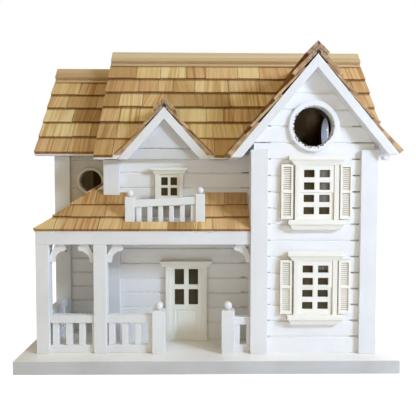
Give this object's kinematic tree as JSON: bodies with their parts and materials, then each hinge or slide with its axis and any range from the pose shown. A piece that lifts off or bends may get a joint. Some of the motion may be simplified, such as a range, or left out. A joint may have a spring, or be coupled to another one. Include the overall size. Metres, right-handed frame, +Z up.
{
  "type": "birdhouse",
  "caption": "Wooden birdhouse shaped as a farmhouse with a tower, wing, wrap-around porch, balcony, shingled roofs and swivelling clean-out covers.",
  "frame": {"origin": "middle of the underside of the base board, on the surface it stands on", "axes": "+X to the right as seen from the front, +Y from the front with its door towards the back, +Z up"},
  "size_m": [0.376, 0.28, 0.3394],
  "materials": {
    "white_paint": "satin",
    "base_paint": "satin",
    "shingle": "matte",
    "bare_wood": "matte",
    "ivory_plastic": "satin",
    "dark_glazing": "gloss",
    "steel": "brushed"
  },
  "bodies": {
    "house": {"base_board": "base_paint", "tower_front_wall": "white_paint", "tower_left_wall": "white_paint", "right_wall": "white_paint", "main_front_wall": "white_paint", "main_left_wall": "white_paint", "wing_front_wall": "white_paint", "wing_left_wall": "white_paint", "back_wall": "white_paint", "tower_nest_floor": "bare_wood", "nest_floor_cleats": "bare_wood", "dormer_face": "white_paint", "tower_corner_boards": "white_paint", "main_corner_boards": "white_paint", "wing_corner_boards": "white_paint", "rear_corner_boards": "white_paint", "main_front_deck": "white_paint", "main_back_deck": "white_paint", "wing_front_deck": "white_paint", "wing_back_deck": "white_paint", "tower_left_deck": "white_paint", "tower_right_deck": "white_paint", "dormer_left_deck": "white_paint", "dormer_right_deck": "white_paint", "porch_front_deck": "white_paint", "porch_side_deck": "white_paint", "main_front_shingles": "shingle", "main_back_shingles": "shingle", "wing_shingles": "shingle", "tower_shingles": "shingle", "dormer_shingles": "shingle", "porch_shingles": "shingle", "main_ridge_cap": "shingle", "wing_ridge_cap": "shingle", "porch_front_beam": "white_paint", "porch_side_beam": "white_paint", "porch_posts": "white_paint", "newel_posts": "white_paint", "ball_finials": "white_paint", "left_railing": "white_paint", "centre_railing": "white_paint", "right_railing": "white_paint", "side_railing": "white_paint", "porch_brackets": "white_paint", "balcony_floor_board": "white_paint", "balcony_posts": "white_paint", "balcony_railing": "white_paint", "tower_entry_ring": "white_paint", "wing_entry_ring": "white_paint", "door_casing": "ivory_plastic", "door_leaf": "ivory_plastic", "attic_window_frame": "ivory_plastic", "attic_window_sash": "ivory_plastic", "tower_window_frames": "ivory_plastic", "tower_window_sashes": "ivory_plastic", "glazing": "dark_glazing", "shutters": "ivory_plastic", "cleanout_screws": "steel"},
    "tower_cover": {"tower_cleanout_cover": "white_paint"},
    "main_cover": {"main_cleanout_cover": "white_paint"}
  },
  "joints": [
    {"name": "tower_cover_swivel", "type": "hinge", "parent": "house", "child": "tower_cover", "pos_m": [0.09255, 0.1281, 0.154], "axis": [0, 1, 0], "range_deg": [-180, 180]},
    {"name": "main_cover_swivel", "type": "hinge", "parent": "house", "child": "main_cover", "pos_m": [-0.02995, 0.1281, 0.0615], "axis": [0, 1, 0], "range_deg": [-180, 180]}
  ]
}
